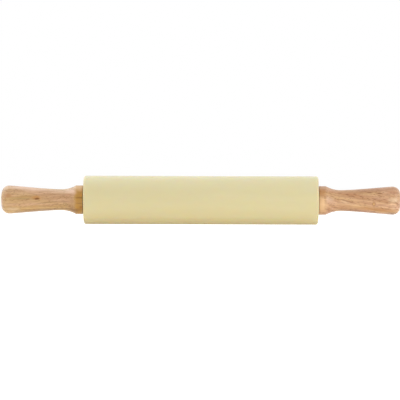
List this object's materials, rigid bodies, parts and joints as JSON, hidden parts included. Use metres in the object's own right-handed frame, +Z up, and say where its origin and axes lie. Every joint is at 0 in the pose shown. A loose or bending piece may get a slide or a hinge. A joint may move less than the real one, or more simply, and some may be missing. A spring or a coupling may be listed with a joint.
{
  "type": "rolling pin",
  "caption": "Pastry rolling pin: a silicone covered barrel that turns freely on a steel axle between turned wooden handles",
  "frame": {"origin": "the point of the table under the middle of the barrel, when the pin lies on it", "axes": "+X along the axle towards the right handle, +Y away from the cook, +Z up"},
  "size_m": [0.43, 0.052, 0.052],
  "materials": {
    "silicone": "matte moulded silicone, pale cream",
    "handle_wood": "turned and sanded hardwood, light satin lacquer",
    "core_wood": "turned, unfinished hardwood",
    "steel": "drawn bright steel",
    "nylon": "moulded natural nylon",
    "brass": "turned brass"
  },
  "bodies": {
    "handles": {"handle_left": "handle_wood", "handle_right": "handle_wood", "axle_rod": "steel", "threaded_insert_left": "brass", "threaded_insert_right": "brass", "lock_nut_left": "steel", "lock_nut_right": "steel", "thrust_washer_left": "nylon", "thrust_washer_right": "nylon"},
    "barrel": {"silicone_sleeve": "silicone", "barrel_core": "core_wood", "bearing_bush_left": "nylon", "bearing_bush_right": "nylon"}
  },
  "joints": [
    {"name": "barrel_spin", "type": "hinge", "parent": "handles", "child": "barrel", "pos_m": [0, 0, 0.026], "axis": [1, 0, 0], "continuous": true}
  ]
}
